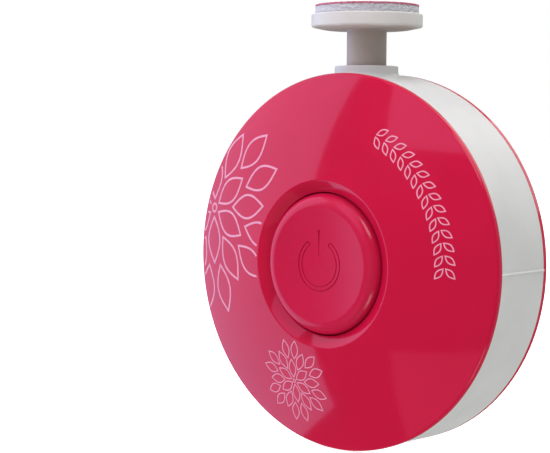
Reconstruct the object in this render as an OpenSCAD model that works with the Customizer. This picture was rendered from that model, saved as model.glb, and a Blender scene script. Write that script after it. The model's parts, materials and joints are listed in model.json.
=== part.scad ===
// Round electric callus remover. A flat round case stands on its rim, with a large
// power button in the domed front cover, a white band round the middle, and a sanding
// head that a small motor turns on a spindle at the top.
// Millimetres. +Z is up, the button faces -Y, +X is to the right of someone facing
// the button, and the origin is the lowest point of the rim.

/* [Case] */
// Outer diameter of the two covers
case_d = 66; // [64:1:80]
// Thickness from the button's face to the flat of the rear cover
case_t = 26.1; // [25.5:0.1:32]
// Width of the white band between the two covers
band_w = 12.6; // [12:0.1:15.2]
// How far the band lies inside the covers' edges
band_inset = 0.3; // [0.1:0.1:0.8]
// Wall of the band
band_wall = 1.6; // [1.2:0.1:2]
// Wall of the covers
wall = 1.6; // [1.2:0.1:2]
// Straight edge of a cover, before its dome begins
rim_w = 1.1; // [0.6:0.1:1.4]
// Rounding between a cover's edge and its dome
rim_round = 0.6; // [0.3:0.1:1]
// How far the dome would rise past the flat planes if it were whole
dome_over = 0.45; // [0.3:0.05:1]
// Depth of the lips that hold the covers in the band
lip_len = 1.6; // [1:0.1:2]
// Thickness of those lips
lip_t = 1.0; // [0.8:0.1:1.4]

/* [Button] */
// Diameter of the power button where it passes through the cover
button_d = 24.6; // [20:0.1:29.6]
// Rounding of the button's shoulder
button_round = 2.1; // [1:0.1:3]
// How deep the button's gap lies below its face
button_proud = 1.85; // [1.4:0.05:2.6]
// Gap between the button and its hole
button_gap = 0.15; // [0.1:0.05:0.4]
// Width of the sloping ring round the button
recess_w = 2.05; // [1:0.05:3]
// Thickness of the cover's ring that the button's flange stops against
recess_t = 1.6; // [1.2:0.1:2]
// Wall of the button
button_wall = 1.4; // [1:0.1:2]
// How far the button's flange reaches under the cover
flange_w = 1.25; // [0.8:0.05:2]
// Thickness of the flange
flange_t = 1.0; // [0.8:0.1:1.4]
// How far the button can be pressed
button_travel = 0.8; // [0.4:0.1:1]
// Wire of the button's return spring
button_wire_d = 0.5; // [0.3:0.05:0.7]
// Mean diameter of that spring
button_coil_d = 9.8; // [9.2:0.1:10.6]

/* [Head] */
// Diameter of the sanding head's plate
plate_d = 19.6; // [14:0.1:26]
// Thickness of the plate
plate_t = 2.3; // [1.4:0.1:3]
// Diameter of the foam pad on the plate
pad_d = 18.4; // [12:0.1:25]
// Thickness of the foam pad
pad_t = 1.35; // [1:0.05:3]
// Thickness of the abrasive face
abrasive_t = 0.35; // [0.2:0.05:0.6]
// Outer diameter of the head's stem
stem_d = 7.0; // [6:0.1:8.6]
// Whole length of the stem under the plate
stem_len = 12.3; // [10:0.1:15]
// Length of the stem that shows above the collar
stem_show = 6.75; // [4:0.05:8]
// How far the collar stands above the case's edge
collar_h = 1.35; // [0.6:0.05:3]
// Wall of the collar round the stem
collar_wall = 1.6; // [1.2:0.1:2]
// Gap between the stem and the collar
collar_gap = 0.5; // [0.3:0.1:0.8]

/* [Spindle and motor] */
// Diameter of the drive spindle inside the stem
spindle_d = 4.0; // [3.4:0.1:4.8]
// Distance across the spindle's two flats
spindle_flats = 3.2; // [2.8:0.1:3.8]
// Gap all round between the spindle and the stem's socket
socket_gap = 0.05; // [0.03:0.01:0.1]
// Length of the spindle above its base
spindle_len = 9.8; // [8:0.1:11]
// Diameter of the motor shaft
shaft_d = 2.0; // [1.5:0.1:2.4]
// Running gap between the shaft and its bushes
shaft_gap = 0.03; // [0.02:0.01:0.08]
// Diameter of the motor can
motor_d = 15.5; // [13:0.1:18.6]
// Thickness of the motor can across its flats
motor_flats = 12; // [11:0.1:12.4]
// Length of the motor body
motor_len = 20; // [17:0.1:21]
// Wall of the motor can
can_t = 0.7; // [0.5:0.1:1]
// Outer diameter of the bushes
bush_d = 4.0; // [3.4:0.1:4.6]
// Diameter of the rotor
rotor_d = 9.4; // [8:0.1:9.8]
// Diameter of the commutator
commutator_d = 4.0; // [3:0.1:4.6]

/* [Batteries] */
// Diameter of a cell
cell_d = 10.5; // [10:0.1:10.8]
// Length of a cell with its nub
cell_len = 44.5; // [42:0.1:45]
// Length that a contact spring takes up
contact_spring_len = 3.3; // [2.6:0.1:3.6]
// Wall of the battery bay
bay_wall = 0.9; // [0.7:0.1:1.2]
// Gap all round between the door and its opening
door_gap = 0.15; // [0.1:0.05:0.3]
// Corner radius of the door
door_corner = 5; // [3:0.5:7]

/* [Screws] */
// Diameter of the case screws
case_screw_d = 2.2; // [1.8:0.1:2.4]
// Diameter of the frame and motor screws
frame_screw_d = 2.0; // [1.6:0.1:2.2]
// Diameter of the circuit board screws
board_screw_d = 1.6; // [1.2:0.1:1.8]

/* [Hidden] */
$fn = 96;
EPS = 0.01;

case_r = case_d / 2;
face_h = case_t / 2;
seam_h = band_w / 2;
rim_h = seam_h + rim_w;
dome_h = face_h + dome_over - rim_h;
dome_r = (case_r * case_r + dome_h * dome_h) / (2 * dome_h);
dome_c = rim_h + dome_h - dome_r;
band_r = case_r - band_inset;
band_in_r = band_r - band_wall;
lip_gap = 0.05;
lip_r = band_in_r - lip_gap;
inner_r = lip_r - lip_t - 0.2;

button_r = button_d / 2;
hole_r = button_r + button_gap;
recess_r = hole_r + recess_w;
gap_h = face_h - button_proud;
collar_under_h = gap_h - recess_t;
flange_gap = 0.1;
flange_top = collar_under_h - flange_gap;
button_inside_h = face_h - button_wall;

collar_top = case_r + collar_h;
stem_r = stem_d / 2;
plate_bottom = collar_top + stem_show;
plate_top = plate_bottom + plate_t;
pad_top = plate_top + pad_t;
stem_bottom = plate_bottom - stem_len;
collar_bore_r = stem_r + collar_gap;
collar_r = collar_bore_r + collar_wall;

base_gap = 0.1;
base_t = 0.7;
base_r = 3.0;
spindle_base = stem_bottom - base_gap - base_t;
spindle_top = stem_bottom - base_gap + spindle_len;
socket_depth = spindle_top + 0.8;
shaft_r = shaft_d / 2;
shaft_top = spindle_top - 2.4;

nose_gap = 0.3;
nose_h = 1.2;
nose_r = 3.0;
motor_top = spindle_base - nose_gap - nose_h;
motor_bottom = motor_top - motor_len;
motor_half = motor_flats / 2;
motor_r = motor_d / 2;
end_cap_h = 1.6;
can_bottom = motor_bottom + end_cap_h;
bush_r = bush_d / 2;
rotor_r = rotor_d / 2;
rotor_bottom = motor_bottom + 6.1;
rotor_h = 9;
magnet_gap = 0.5;
commutator_r = commutator_d / 2;
commutator_bottom = motor_bottom + 2.8;
commutator_h = 2.4;
terminal_x = 4.2;
terminal_len = 1.5;

cell_gap = 0.25;
cell_r = cell_d / 2;
cell_nub_h = 1.2;
cell_nub_r = 1.9;
cell_h = -2.4;
contact_t = 0.4;
dimple_h = 0.6;
bay_top = motor_bottom - terminal_len - 0.7;
upper_z = bay_top - bay_wall - cell_gap - cell_r;
lower_z = upper_z - cell_d - 0.3;
bay_bottom = lower_z - cell_r - cell_gap - bay_wall;
bay_half = (cell_len + contact_spring_len + dimple_h) / 2 + contact_t;
cell_end = bay_half - contact_t - dimple_h;
bay_mid = (upper_z + lower_z) / 2;
floor_t = 1.05;
floor_h = cell_h + cell_r + 0.3;
floor_front = floor_h + floor_t;
bay_rear = -6;
contact_half = 3.6;

door_x = bay_half + 0.6;
door_top = bay_top - 0.1;
door_bottom = bay_bottom + 0.1;
ledge_w = 1.2;
seat_gap = 0.1;
ledge_t = 1.0;

standoff_h = 0.8;
board_back = floor_front + standoff_h;
board_t = 1.0;
board_front = board_back + board_t;
board_half = motor_r + 4.25;
board_top = bay_top + 1.4;
chip_len = 3.6;
chip_edge = 1.4;
board_bottom = min(bay_mid - 6.3, -button_coil_d / 2 - 1 - chip_len - chip_edge);
board_screw_x = board_half - 2.5;
capacitor_top = board_top - 2.6;
capacitor_r = 1.6;
switch_w = 6;
switch_h = 3.2;
switch_top = board_front + switch_h;
plunger_r = 1.7;
plunger_gap = 0.05;
plunger_top = switch_top + 1.2;
plunger_bottom = switch_top - 1.1;

cradle_gap = 0.1;
cradle_wall = 1.35;
cradle_x = motor_r + cradle_gap;
cradle_front = motor_half + 1.2;
cradle_rear = -3;
strap_t = 1.0;
strap_z = (motor_top + motor_bottom) / 2;
strap_x = cradle_x + cradle_wall + 1.7;
frame_screw_x = 17;
frame_screw_z = bay_top + 5.3;

screw_ring_r = case_r - 6;
screw_angles = [42, 138, 236, 304];
case_boss_r = case_screw_d / 2 + 1.6;
boss_top_h = -4.4;
screw_seat_h = -rim_h;
case_screw_len = 12;
head_h = 1.4;

wire_r = 0.5;
wire_hole_w = 3;
solder_gap = 0.05;
// Ends of the wires where they meet the board, as heights over each wire's own start
motor_wire_end = board_back - solder_gap;
minus_wire_end = board_back - solder_gap - cell_h;
plus_wire_end = board_front + solder_gap - floor_front - wire_r;
// Where the minus wire passes the frame, from the middle and from the wire's start
minus_wire_x = cradle_x + 2.65;
minus_run = minus_wire_x + contact_t - bay_half;
// Routes of the four wires, as [right, up, forward] from their starts
motor_wire = [[0, 0, 0.8], [0, 0, 2], [0, -0.3, 3.2], [0, -0.4, 4], [0, -0.4, motor_wire_end]];
minus_wire = [[0, 0, 0], [-4, 0, 0.4], [minus_run + 4, 0, 2.4], [minus_run + 0.6, 0, 4.6],
              [minus_run, 0, minus_wire_end - 1], [minus_run, 0, minus_wire_end]];
plus_wire = [[0, 0, 0], [-4, 0, 0.2], [-9, 1, 1.2], [-11.6, 2, 2.6], [-13.6, 2.5, 2.9],
             [-14.2, 2.6, plus_wire_end + 0.8], [-14.2, 2.6, plus_wire_end]];

// Height of a cover's dome over the middle plane, at radius r and this far inside it
function dome_at(r, inset = 0) = dome_c + sqrt(pow(dome_r - inset, 2) - r * r);

// Places a shape given as [right, up, forward] from the middle of the case
module on_case() translate([0, 0, case_r]) rotate([90, 0, 0]) children();

// Places a shape given as [right, back, up] from the middle of the case
module on_spindle() translate([0, 0, case_r]) children();

// The same shape on both sides of the vertical plane
module both_sides() {
    children();
    mirror([1, 0, 0]) children();
}

module at_screws() {
    for (a = screw_angles) rotate(a) translate([screw_ring_r, 0, 0]) children();
}

module ring(outer, inner, h) {
    difference() {
        cylinder(r = outer, h = h);
        translate([0, 0, -EPS]) cylinder(r = inner, h = h + 2 * EPS);
    }
}

// A screw whose head's seat is at the origin and whose shank points up
module screw(d, head_d, head, len) {
    difference() {
        union() {
            translate([0, 0, -head]) cylinder(d = head_d, h = head);
            cylinder(d = d, h = len);
        }
        for (a = [0, 90]) rotate(a) translate([0, 0, -head])
            cube([head_d * 0.6, head_d * 0.14, head], center = true);
    }
}

// Everything under the dome this far inside its surface, from a height up to the flat
module under_dome(inset, low, edge_r) {
    intersection() {
        translate([0, 0, dome_c]) sphere(r = dome_r - inset, $fn = 180);
        translate([0, 0, low]) cylinder(r = edge_r, h = face_h - low);
    }
}

// A cover before it is hollowed, with a rounding between its edge and its dome
module cover_solid() {
    round_r = case_r - rim_round;
    round_h = dome_at(round_r, rim_round);
    under_dome(0, seam_h, round_r * dome_r / (dome_r - rim_round));
    intersection() {
        rotate_extrude() {
            translate([round_r, round_h]) circle(r = rim_round);
            translate([round_r - 2, 0]) square([rim_round + 2, round_h]);
        }
        translate([0, 0, seam_h]) cylinder(r = case_r + 1, h = face_h);
    }
}

module cover_shell(thick) {
    difference() {
        cover_solid();
        under_dome(thick, seam_h - EPS, case_r - thick);
    }
}

// Lip that runs inside the band and joins the cover above the seam
module cover_lip() {
    translate([0, 0, seam_h - lip_len]) ring(lip_r, lip_r - lip_t, lip_len + 0.6);
}

module front_cover() {
    color("crimson") on_case() difference() {
        union() {
            cover_shell(wall);
            cover_lip();
            intersection() {
                under_dome(wall / 2, boss_top_h, case_r);
                union() {
                    at_screws() translate([0, 0, boss_top_h]) cylinder(r = case_boss_r, h = case_t);
                    both_sides() translate([frame_screw_x, frame_screw_z, floor_front])
                        cylinder(r = frame_screw_d / 2 + 1.4, h = case_t);
                    translate([0, 0, collar_under_h]) cylinder(r = recess_r + wall, h = case_t);
                }
            }
        }
        translate([0, 0, collar_under_h - EPS]) cylinder(r = hole_r, h = case_t);
        button_recess();
        at_screws() translate([0, 0, boss_top_h - EPS])
            cylinder(d = case_screw_d, h = case_screw_len - 2);
        both_sides() translate([frame_screw_x, frame_screw_z, floor_front - EPS])
            cylinder(d = frame_screw_d, h = 4.8);
    }
}

// Sloping ring round the button, from its hole up to the dome
module button_recess() {
    rise = dome_at(recess_r) - gap_h;
    translate([0, 0, gap_h]) cylinder(r1 = hole_r, r2 = hole_r + 2 * recess_w, h = 2 * rise);
}

module middle_band() {
    color("whitesmoke") difference() {
        union() {
            on_case() translate([0, 0, -seam_h]) cylinder(r = band_r, h = band_w);
            on_spindle() cylinder(r = collar_r, h = collar_top);
        }
        on_case() translate([0, 0, -seam_h - EPS]) cylinder(r = band_in_r, h = band_w + 2 * EPS);
        on_spindle() cylinder(r = collar_bore_r, h = collar_top + EPS);
    }
}

// Round-cornered outline of the battery door, grown by this much
module door_outline(grow) {
    w = door_x + grow;
    h = (door_top - door_bottom) / 2 + grow;
    c = door_corner + grow;
    translate([0, (door_top + door_bottom) / 2]) {
        square([2 * (w - c), 2 * h], center = true);
        square([2 * w, 2 * (h - c)], center = true);
        for (x = [-1, 1], y = [-1, 1]) translate([x * (w - c), y * (h - c)]) circle(r = c);
    }
}

module door_prism(grow) {
    translate([0, 0, seam_h - 1]) linear_extrude(height = face_h) door_outline(grow);
}

// The rear side is built facing forward and turned round the upright axis
module facing_back() rotate([0, 180, 0]) children();

module rear_cover() {
    color("crimson") on_case() facing_back() difference() {
        union() {
            difference() {
                cover_shell(wall);
                door_prism(door_gap);
            }
            cover_lip();
            difference() {
                intersection() {
                    under_dome(wall - EPS, seam_h, case_r);
                    door_prism(2);
                }
                under_dome(wall + ledge_t, seam_h - EPS, case_r);
                door_prism(-ledge_w);
            }
            intersection() {
                under_dome(wall / 2, -boss_top_h, case_r);
                at_rear_screws() translate([0, 0, -boss_top_h]) cylinder(r = case_boss_r, h = case_t);
            }
        }
        at_rear_screws() {
            translate([0, 0, -boss_top_h - EPS]) cylinder(d = case_screw_d + 0.2, h = case_t);
            translate([0, 0, -screw_seat_h]) cylinder(d = 2 * case_screw_d, h = case_t);
        }
        translate([0, 0, seam_h - 1]) linear_extrude(height = wall + 1.2) door_outline(-ledge_w);
    }
}

// The case screws' places, seen from the rear
module at_rear_screws() {
    for (a = screw_angles) rotate(180 - a) translate([screw_ring_r, 0, 0]) children();
}

module battery_door() {
    grip_y = door_top - 3.4;
    color("crimson") on_case() facing_back() difference() {
        intersection() {
            cover_shell(wall - seat_gap);
            door_prism(0);
        }
        for (i = [0:2]) translate([0, grip_y - 1.6 * i, face_h])
            cube([9, 0.7, 0.7], center = true);
    }
}

module case_screws() {
    color("silver") on_case() at_screws() translate([0, 0, screw_seat_h])
        screw(case_screw_d, 2 * case_screw_d - 0.4, head_h, case_screw_len);
}

// Plate with the battery bay behind it and the motor's cradle above it
module inner_frame() {
    color("gainsboro") on_case() difference() {
        intersection() {
            translate([0, 0, -case_r]) cylinder(r = inner_r, h = case_d);
            union() {
                frame_plate();
                battery_bay();
                motor_cradle();
                both_sides() translate([board_screw_x, bay_mid, floor_h - 1.75])
                    cylinder(d = board_screw_d + 1.4, h = board_back - floor_h + 1.75);
            }
        }
        both_sides() {
            translate([board_screw_x, bay_mid, board_front - 3.8])
                cylinder(d = board_screw_d, h = 4);
            translate([frame_screw_x, frame_screw_z, floor_h - 1])
                cylinder(d = frame_screw_d + 0.2, h = 4);
            translate([strap_x, strap_z, -motor_half - EPS])
                cylinder(d = frame_screw_d, h = motor_half + 1);
        }
        translate([minus_wire_x - wire_hole_w / 2, bay_top, floor_h - 1])
            cube([wire_hole_w, 2.2, floor_t + 2]);
        translate([bay_half - contact_t - 0.1, bay_top - bay_wall - 1, cell_h - 1.1])
            cube([contact_t + 0.2, bay_wall + 2, 2.2]);
        translate([bay_half - contact_t - 0.1, lower_z - 1.1, floor_h - 1])
            cube([contact_t + 0.2, 2.2, floor_t + 2]);
    }
}

module frame_plate() {
    translate([-bay_half - bay_wall, bay_bottom, floor_h])
        cube([2 * (bay_half + bay_wall), bay_top - bay_bottom, floor_t]);
    both_sides() {
        translate([cradle_x, bay_top - 1, floor_h])
            cube([frame_screw_x + 4 - cradle_x, frame_screw_z - bay_top + 4.6, floor_t]);
        translate([cradle_x, bay_top, floor_h])
            cube([strap_x + 2.2 - cradle_x, strap_z - bay_top + 2.6, floor_t]);
    }
}

module battery_bay() {
    outer_x = bay_half + bay_wall;
    difference() {
        translate([-outer_x, bay_bottom, bay_rear])
            cube([2 * outer_x, bay_top - bay_bottom, floor_h - bay_rear + EPS]);
        translate([-bay_half, bay_bottom + bay_wall, bay_rear - EPS])
            cube([2 * bay_half, bay_top - bay_bottom - 2 * bay_wall, floor_h - bay_rear + 2 * EPS]);
    }
}

module motor_cradle() {
    low = motor_bottom + 1;
    high = motor_top - 1;
    translate([-cradle_x - cradle_wall, low, motor_half])
        cube([2 * (cradle_x + cradle_wall), high - low, cradle_front - motor_half]);
    both_sides() {
        translate([cradle_x, low, cradle_rear])
            cube([cradle_wall, high - low, cradle_front - cradle_rear]);
        translate([cradle_x, high - EPS, cradle_rear])
            cube([cradle_wall, 2 + EPS, motor_half - cradle_rear]);
        translate([strap_x, strap_z, -motor_half])
            cylinder(r = 2, h = motor_half + floor_h + EPS);
    }
    difference() {
        translate([-cradle_x, motor_top + 0.05, cradle_rear])
            cube([2 * cradle_x, 0.95, motor_half - cradle_rear]);
        translate([-nose_r - 0.1, motor_top, cradle_rear - EPS])
            cube([2 * nose_r + 0.2, 1.1, -cradle_rear + EPS]);
        translate([0, motor_top, 0]) rotate([-90, 0, 0]) cylinder(r = nose_r + 0.1, h = 1.1);
    }
}

module frame_screws() {
    color("silver") on_case() both_sides() translate([frame_screw_x, frame_screw_z, floor_h])
        screw(frame_screw_d, 1.9 * frame_screw_d, 1.2, floor_t + 4.6);
}

// Strap that holds the motor down in its cradle
module motor_strap() {
    color("silver") on_case() difference() {
        translate([-strap_x - 2, strap_z - 2, -motor_half - strap_t])
            cube([2 * (strap_x + 2), 4, strap_t]);
        both_sides() translate([strap_x, strap_z, -motor_half - strap_t - EPS])
            cylinder(d = frame_screw_d + 0.2, h = strap_t + 2 * EPS);
    }
}

module strap_screws() {
    color("silver") on_case() both_sides() translate([strap_x, strap_z, -motor_half - strap_t])
        screw(frame_screw_d, 1.9 * frame_screw_d, 1.2, strap_t + motor_half);
}

// Motor outline: a round can with two flats, shrunk by this much
module motor_section(inset, h) {
    intersection() {
        cylinder(r = motor_r - inset, h = h);
        translate([-motor_r, -motor_half + inset, 0])
            cube([motor_d, motor_flats - 2 * inset, h]);
    }
}

module motor_can() {
    color("silver") on_spindle() difference() {
        union() {
            translate([0, 0, can_bottom]) motor_section(0, motor_top - can_bottom);
            translate([0, 0, motor_top - EPS]) cylinder(r = nose_r, h = nose_h + EPS);
        }
        translate([0, 0, can_bottom - EPS]) motor_section(can_t, motor_top - can_bottom - can_t);
        translate([0, 0, can_bottom]) cylinder(r = bush_r, h = motor_len);
    }
}

module motor_end_cap() {
    color("dimgray") on_spindle() difference() {
        union() {
            translate([0, 0, motor_bottom]) motor_section(0, end_cap_h);
            translate([0, 0, can_bottom - EPS]) motor_section(can_t + 0.05, 0.6);
        }
        translate([0, 0, motor_bottom - EPS]) cylinder(r = bush_r, h = end_cap_h + 1);
        both_sides() translate([terminal_x, 0, motor_bottom - EPS])
            cube([0.4, 1.6, 2 * end_cap_h + 2], center = true);
    }
}

module motor_magnets() {
    inner = rotor_r + magnet_gap;
    outer = motor_r - can_t;
    half = motor_half - can_t;
    color("dimgray") on_spindle() both_sides() intersection() {
        translate([0, 0, rotor_bottom - 1.4]) ring(outer, inner, rotor_h + 2.8);
        translate([inner * 0.62, -half, rotor_bottom - 2])
            cube([outer, 2 * half, rotor_h + 4]);
    }
}

module motor_bushes() {
    color("goldenrod") on_spindle() {
        translate([0, 0, motor_bottom]) ring(bush_r, shaft_r + shaft_gap, end_cap_h + 0.6);
        translate([0, 0, motor_top - can_t]) ring(bush_r, shaft_r + shaft_gap, can_t + nose_h);
    }
}

module motor_brushes() {
    near = commutator_r + 0.05;
    low = can_bottom + 0.6;
    color("peru") on_spindle() both_sides() {
        translate([near, -2, commutator_bottom]) cube([0.3, 4, commutator_h - 0.4]);
        translate([near, 1.3, low]) cube([0.3, 0.7, commutator_bottom - low + EPS]);
    }
}

module motor_terminals() {
    color("goldenrod") on_spindle() both_sides()
        translate([terminal_x, 0, motor_bottom - terminal_len / 2 + 0.6])
            cube([0.4, 1.6, terminal_len + 1.2], center = true);
}

module motor_shaft() {
    color("silver") on_spindle() translate([0, 0, motor_bottom - 0.4])
        cylinder(r = shaft_r, h = shaft_top - motor_bottom + 0.4);
}

// Three-pole core, with a slot between each pair of poles
module rotor_core() {
    color("gray") on_spindle() translate([0, 0, rotor_bottom]) difference() {
        cylinder(r = rotor_r, h = rotor_h);
        rotor_slots(rotor_h);
        translate([0, 0, -EPS]) cylinder(r = shaft_r, h = rotor_h + 2 * EPS);
    }
}

module rotor_slots(h) {
    for (a = [30, 150, 270]) rotate(a) {
        translate([2.6, -1.1, -EPS]) cube([rotor_r - 3.4, 2.2, h + 2 * EPS]);
        translate([rotor_r - 1.2, -0.4, -EPS]) cube([1.6, 0.8, h + 2 * EPS]);
    }
}

module rotor_winding() {
    turn_h = 0.9;
    color("peru") on_spindle() {
        for (z = [rotor_bottom - turn_h, rotor_bottom + rotor_h])
            translate([0, 0, z]) ring(rotor_r - 0.7, shaft_r + 0.6, turn_h);
        for (a = [30, 150, 270]) rotate(a) translate([2.7, -1, rotor_bottom - EPS])
            cube([rotor_r - 3.6, 2, rotor_h + 2 * EPS]);
    }
}

module commutator() {
    color("peru") on_spindle() translate([0, 0, commutator_bottom]) difference() {
        cylinder(r = commutator_r, h = commutator_h);
        translate([0, 0, -EPS]) cylinder(r = shaft_r, h = commutator_h + 2 * EPS);
        for (a = [0, 120, 240]) rotate(a) translate([commutator_r - 0.5, -0.15, -EPS])
            cube([1, 0.3, commutator_h + 2 * EPS]);
    }
}

// Spindle outline: a circle with two flats, grown by this much
module spindle_section(grow, h) {
    intersection() {
        cylinder(r = spindle_d / 2 + grow, h = h);
        translate([-spindle_d, -spindle_flats / 2 - grow, 0])
            cube([2 * spindle_d, spindle_flats + 2 * grow, h]);
    }
}

module drive_spindle() {
    color("whitesmoke") on_spindle() difference() {
        union() {
            translate([0, 0, spindle_base]) cylinder(r = base_r, h = base_t);
            translate([0, 0, spindle_base]) spindle_section(0, spindle_top - spindle_base);
        }
        translate([0, 0, spindle_base - EPS])
            cylinder(r = shaft_r, h = shaft_top - spindle_base + EPS);
    }
}

module head_hub() {
    color("white") on_spindle() difference() {
        union() {
            translate([0, 0, stem_bottom]) cylinder(r = stem_r, h = stem_len);
            translate([0, 0, plate_bottom]) cylinder(d = plate_d, h = plate_t);
        }
        translate([0, 0, stem_bottom - EPS])
            spindle_section(socket_gap, socket_depth - stem_bottom);
    }
}

module foam_pad() {
    color("white") on_spindle() translate([0, 0, plate_top]) cylinder(d = pad_d, h = pad_t);
}

module abrasive_disc() {
    color("hotpink") on_spindle() translate([0, 0, pad_top]) cylinder(d = pad_d, h = abrasive_t);
}

module power_button() {
    guide_r = (button_coil_d - button_wire_d) / 2 - 0.25;
    color("crimson") on_case() {
        difference() {
            union() {
                rotate_extrude() {
                    square([button_r - button_round, face_h]);
                    square([button_r, face_h - button_round]);
                    translate([button_r - button_round, face_h - button_round])
                        circle(r = button_round);
                }
                translate([0, 0, flange_top - flange_t])
                    cylinder(r = hole_r + flange_w - button_gap, h = flange_t);
            }
            translate([0, 0, -case_t + flange_top - flange_t])
                cylinder(r = case_r, h = case_t);
            translate([0, 0, -EPS]) cylinder(r = button_r - button_wall, h = button_inside_h);
        }
        translate([0, 0, plunger_top])
            cylinder(r = plunger_r + 0.4, h = button_inside_h - plunger_top);
        translate([0, 0, button_inside_h - 1]) ring(guide_r, guide_r - 1, 1);
    }
}

module switch_plunger() {
    color("black") on_case() translate([0, 0, plunger_bottom])
        cylinder(r = plunger_r, h = plunger_top - plunger_bottom);
}

module button_spring() {
    len = button_inside_h - board_front;
    color("silver") on_case() translate([0, 0, board_front])
        coil(button_coil_d / 2, button_wire_d / 2, len, 5);
}

module switch_body() {
    color("dimgray") on_case() difference() {
        translate([-switch_w / 2, -switch_w / 2, board_front]) cube([switch_w, switch_w, switch_h]);
        translate([0, 0, plunger_bottom - button_travel - 0.1])
            cylinder(r = plunger_r + plunger_gap, h = switch_h);
    }
}

module circuit_board() {
    color("seagreen") on_case() difference() {
        translate([-board_half, board_bottom, board_back])
            cube([2 * board_half, board_top - board_bottom, board_t]);
        both_sides() translate([board_screw_x, bay_mid, board_back - EPS])
            cylinder(d = board_screw_d + 0.2, h = board_t + 2 * EPS);
    }
}

module board_screws() {
    color("silver") on_case() both_sides() translate([board_screw_x, bay_mid, board_front])
        rotate([180, 0, 0]) screw(board_screw_d, 1.75 * board_screw_d, 0.9, 3.8);
}

module control_chip() {
    color("black") on_case() {
        translate([-2, board_bottom + chip_edge, board_front + 0.1]) cube([4, chip_len, 1.2]);
        for (i = [0:2]) both_sides()
            translate([1.9, board_bottom + chip_edge + 0.5 + i, board_front])
            cube([0.9, 0.4, 0.4]);
    }
}

module capacitor() {
    color("royalblue") on_case()
        translate([board_half - 3.8, capacitor_top - capacitor_r, board_front])
            cylinder(r = capacitor_r, h = 1.7);
}

// A cell along the x axis with its nub on the +x side
module cell() {
    rotate([0, 90, 0]) {
        cylinder(r = cell_r, h = cell_len - cell_nub_h);
        cylinder(r = cell_nub_r, h = cell_len);
    }
}

module battery_upper() {
    color("lightslategray") on_case() translate([cell_len - cell_end, upper_z, cell_h])
        mirror([1, 0, 0]) cell();
}

module battery_lower() {
    color("lightslategray") on_case() translate([cell_end - cell_len, lower_z, cell_h]) cell();
}

// Flat contact against the +x wall, with a dimple for a nub or a spring for a base
module contact(up, sprung) {
    translate([bay_half - contact_t, up - contact_half, cell_h - contact_half])
        cube([contact_t, 2 * contact_half, 2 * contact_half]);
    translate([bay_half - contact_t, up, cell_h]) rotate([0, -90, 0]) {
        if (sprung) {
            translate([0, 0, -contact_t / 2]) coil(2.6, 0.3, contact_spring_len + contact_t / 2, 3);
        } else {
            cylinder(r = 1.5, h = dimple_h);
        }
    }
}

module contact_link() {
    color("silver") on_case() mirror([1, 0, 0]) {
        contact(upper_z, false);
        contact(lower_z, true);
        translate([bay_half - contact_t, lower_z, cell_h - 1.5])
            cube([contact_t, upper_z - lower_z, 3]);
    }
}

module contact_minus() {
    color("silver") on_case() {
        contact(upper_z, true);
        translate([bay_half - contact_t, upper_z, cell_h - 1])
            cube([contact_t, bay_top + 1.4 - upper_z, 2]);
    }
}

module contact_plus() {
    color("silver") on_case() {
        contact(lower_z, false);
        translate([bay_half - contact_t, lower_z - 1, cell_h])
            cube([contact_t, 2, floor_front + 1 - cell_h]);
    }
}

// Points of a coil of this many turns round the z axis
function coil_points(r, h, turns, steps) =
    [for (i = [0:steps]) let (a = 360 * turns * i / steps) [r * cos(a), r * sin(a), h * i / steps]];

// Round-wire spring from z = 0 to h
module coil(r, wire, h, turns) {
    translate([0, 0, wire]) tube(coil_points(r, h - 2 * wire, turns, 20 * turns), wire, [0, 0, 1], 6);
}

function unit(v) = v / norm(v);

function heading(p, i) = unit(p[min(i + 1, len(p) - 1)] - p[max(i - 1, 0)]);

// Point at parameter t of the smooth curve through four points
function smooth(a, b, c, d, t) =
    ((2 * b) + (c - a) * t + (2 * a - 5 * b + 4 * c - d) * t * t + (3 * b - a - 3 * c + d) * t * t * t) / 2;

// A smooth curve through a route's points, with this many steps between each pair
function smooth_route(p, steps) = concat(
    [for (i = [0:len(p) - 2], k = [0:steps - 1])
        smooth(p[max(i - 1, 0)], p[i], p[i + 1], p[min(i + 2, len(p) - 1)], k / steps)],
    [p[len(p) - 1]]);

// Closed tube of this radius along a list of points, with rings turned by a fixed side
module tube(p, r, side, sides) {
    n = len(p);
    rings = [for (i = [0:n - 1])
        let (t = heading(p, i), u = unit(cross(side, t)), v = cross(t, u))
            for (k = [0:sides - 1]) p[i] + r * (cos(360 * k / sides) * u + sin(360 * k / sides) * v)];
    skin = [for (i = [0:n - 2], k = [0:sides - 1])
        let (here = i * sides, next = here + sides, m = (k + 1) % sides)
            [here + k, next + k, next + m, here + m]];
    start = [[for (k = [0:sides - 1]) k]];
    end = [[for (k = [sides - 1:-1:0]) (n - 1) * sides + k]];
    polyhedron(points = rings, faces = concat(skin, start, end), convexity = 10);
}

module wire(route, side) tube(smooth_route(route, 4), wire_r, side, 8);

module motor_wire_right() {
    translate([terminal_x, motor_bottom - terminal_len / 2, 0]) wire(motor_wire, [1, 0, 0]);
}

module wire_motor_left() {
    color("black") on_case() mirror([1, 0, 0]) motor_wire_right();
}

module wire_motor_right() {
    color("red") on_case() motor_wire_right();
}

module wire_minus() {
    color("black") on_case() translate([bay_half - contact_t, bay_top + 0.8, cell_h])
        wire(minus_wire, [0, 1, 0]);
}

module wire_plus() {
    color("red") on_case() translate([bay_half - contact_t, lower_z, floor_front + wire_r])
        wire(plus_wire, [0, 1, 0]);
}

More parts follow.
